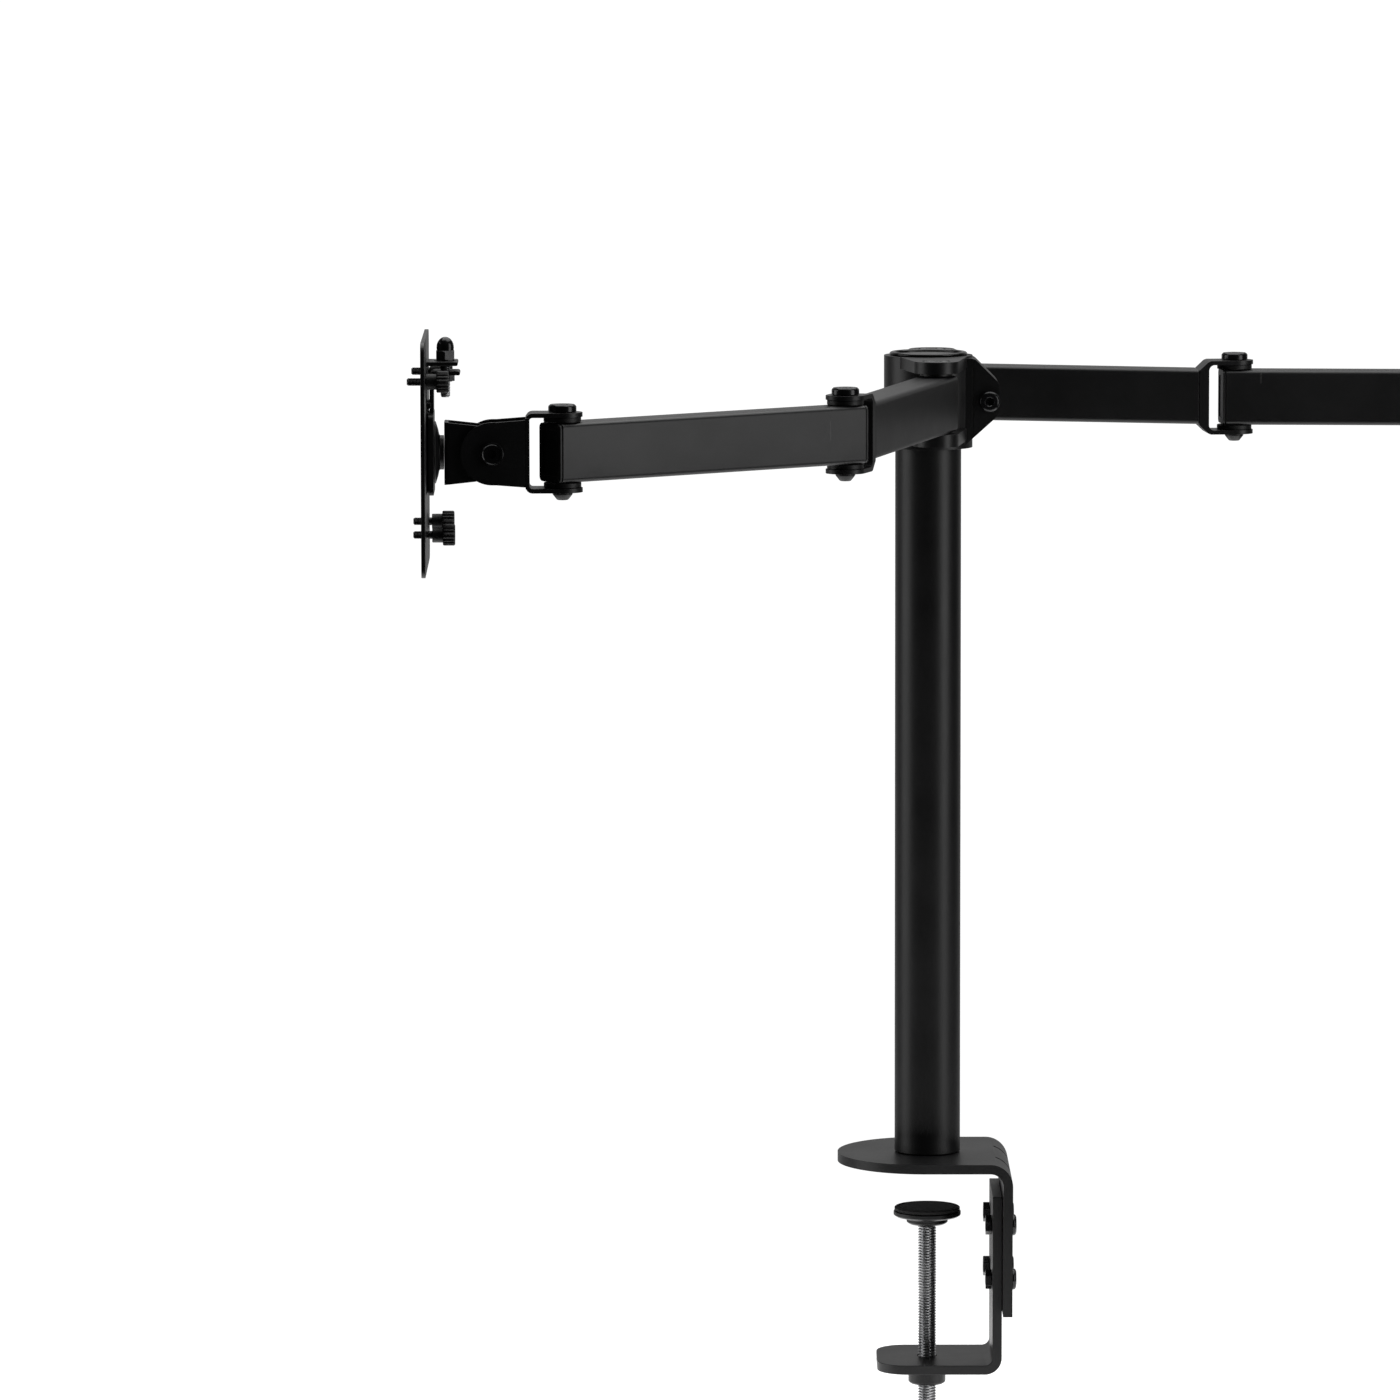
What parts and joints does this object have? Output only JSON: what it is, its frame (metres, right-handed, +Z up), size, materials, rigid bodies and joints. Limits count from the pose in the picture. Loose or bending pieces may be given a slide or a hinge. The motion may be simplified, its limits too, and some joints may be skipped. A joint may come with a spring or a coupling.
{
  "type": "monitor arm",
  "caption": "Desk-clamped pole with a height-adjustable collar and two jointed arms, each ending in a tilting, turning VESA plate.",
  "frame": {"origin": "on the pole's axis, on the underside of the base plate, which lies on the desk", "axes": "+Z up along the pole, +X towards the rear of the desk where the flange hangs over its edge"},
  "size_m": [0.6762, 0.4952, 0.6299],
  "materials": {
    "powder_coat": "fine satin black powder coat",
    "black_oxide": "glossy black oxide",
    "black_plastic": "moulded black plastic",
    "rubber": "soft black rubber",
    "zinc_steel": "zinc-plated steel"
  },
  "bodies": {
    "base": {"base_plate": "powder_coat", "clamp_bracket": "powder_coat", "bracket_bolt_1": "black_oxide", "bracket_bolt_2": "black_oxide", "bracket_bolt_3": "black_oxide", "bracket_bolt_4": "black_oxide", "pole": "powder_coat", "pole_screw": "zinc_steel", "pole_cap": "black_plastic"},
    "clamp_pad": {"clamp_pad": "powder_coat", "pad_cushion": "rubber"},
    "clamp_screw": {"clamp_screw": "zinc_steel", "clamp_knob": "black_plastic"},
    "collar_lift": {"collar_liner": "black_plastic"},
    "collar": {"collar": "powder_coat", "collar_bolt": "black_oxide", "left_shoulder_bolt": "black_oxide", "right_shoulder_bolt": "black_oxide"},
    "left_inner_arm": {"left_inner_tube": "powder_coat", "left_inner_yoke": "powder_coat", "left_elbow_bolt": "black_oxide", "left_elbow_nut": "powder_coat"},
    "left_outer_arm": {"left_outer_tube": "powder_coat", "left_elbow_cap": "black_plastic", "left_wrist_cap": "black_plastic"},
    "left_head": {"left_head_yoke": "powder_coat", "left_wrist_bolt": "black_oxide", "left_wrist_nut": "powder_coat", "left_tilt_bolt": "black_oxide"},
    "left_tilt": {"left_tilt_clevis": "powder_coat", "left_swivel_dish": "powder_coat"},
    "left_vesa": {"left_hook_plate": "powder_coat", "left_vesa_plate": "powder_coat", "left_lock_bolt": "zinc_steel", "left_lock_nut": "black_oxide", "left_thumbscrew_1": "black_plastic", "left_thumbscrew_2": "black_plastic", "left_thumbscrew_3": "black_plastic", "left_thumbscrew_4": "black_plastic"},
    "right_inner_arm": {"right_inner_tube": "powder_coat", "right_inner_yoke": "powder_coat", "right_elbow_bolt": "black_oxide", "right_elbow_nut": "powder_coat"},
    "right_outer_arm": {"right_outer_tube": "powder_coat", "right_elbow_cap": "black_plastic", "right_wrist_cap": "black_plastic"},
    "right_head": {"right_head_yoke": "powder_coat", "right_wrist_bolt": "black_oxide", "right_wrist_nut": "powder_coat", "right_tilt_bolt": "black_oxide"},
    "right_tilt": {"right_tilt_clevis": "powder_coat", "right_swivel_dish": "powder_coat"},
    "right_vesa": {"right_hook_plate": "powder_coat", "right_vesa_plate": "powder_coat", "right_lock_bolt": "zinc_steel", "right_lock_nut": "black_oxide", "right_thumbscrew_1": "black_plastic", "right_thumbscrew_2": "black_plastic", "right_thumbscrew_3": "black_plastic", "right_thumbscrew_4": "black_plastic"}
  },
  "joints": [
    {"name": "clamp_screw_turn", "type": "hinge", "parent": "clamp_pad", "child": "clamp_screw", "pos_m": [0, 0, -0.1], "axis": [0, 0, 1], "range_deg": [-13000, 3640]},
    {"name": "clamp_pad_travel", "type": "slide", "parent": "base", "child": "clamp_pad", "axis": [0, 0, 1], "range_m": [-0.054, 0.015]},
    {"name": "collar_height", "type": "slide", "parent": "base", "child": "collar_lift", "axis": [0, 0, 1], "range_m": [-0.33, 0]},
    {"name": "collar_turn", "type": "hinge", "parent": "collar_lift", "child": "collar", "pos_m": [0, 0, 0.4], "axis": [0, 0, 1], "continuous": true},
    {"name": "left_shoulder", "type": "hinge", "parent": "collar", "child": "left_inner_arm", "pos_m": [0.003, -0.0483, 0.4092], "axis": [0, 0, 1], "range_deg": [-77, 112]},
    {"name": "left_elbow", "type": "hinge", "parent": "left_inner_arm", "child": "left_outer_arm", "pos_m": [-0.04671, -0.20406, 0.40577], "axis": [0, 0, 1], "range_deg": [-66, 143]},
    {"name": "left_wrist", "type": "hinge", "parent": "left_outer_arm", "child": "left_head", "pos_m": [-0.18764, -0.29734, 0.40445], "axis": [0, 0, 1], "range_deg": [-62, 127]},
    {"name": "left_head_tilt", "type": "hinge", "parent": "left_head", "child": "left_tilt", "pos_m": [-0.22223, -0.29794, 0.40445], "axis": [0.0175, -0.9998, 0], "range_deg": [-45, 45]},
    {"name": "left_head_turn", "type": "hinge", "parent": "left_tilt", "child": "left_vesa", "pos_m": [-0.24763, -0.29839, 0.40445], "axis": [-0.9998, -0.0175, 0], "continuous": true},
    {"name": "right_shoulder", "type": "hinge", "parent": "collar", "child": "right_inner_arm", "pos_m": [0.003, 0.0483, 0.4092], "axis": [0, 0, 1], "range_deg": [-9, 180]},
    {"name": "right_elbow", "type": "hinge", "parent": "right_inner_arm", "child": "right_outer_arm", "pos_m": [0.16593, 0.06198, 0.40492], "axis": [0, 0, 1], "range_deg": [-105, 105]},
    {"name": "right_wrist", "type": "hinge", "parent": "right_outer_arm", "child": "right_head", "pos_m": [0.33433, 0.07612, 0.403], "axis": [0, 0, 1], "range_deg": [-95, 95]},
    {"name": "right_head_tilt", "type": "hinge", "parent": "right_head", "child": "right_tilt", "pos_m": [0.36881, 0.07902, 0.403], "axis": [-0.0837, 0.9965, 0], "range_deg": [-45, 45]},
    {"name": "right_head_turn", "type": "hinge", "parent": "right_tilt", "child": "right_vesa", "pos_m": [0.39412, 0.08114, 0.403], "axis": [0.9965, 0.0837, 0], "continuous": true}
  ],
  "couplings": [
    {"joint": "clamp_screw_turn", "follows": "clamp_pad_travel", "rad_per_m": 4188.8}
  ]
}
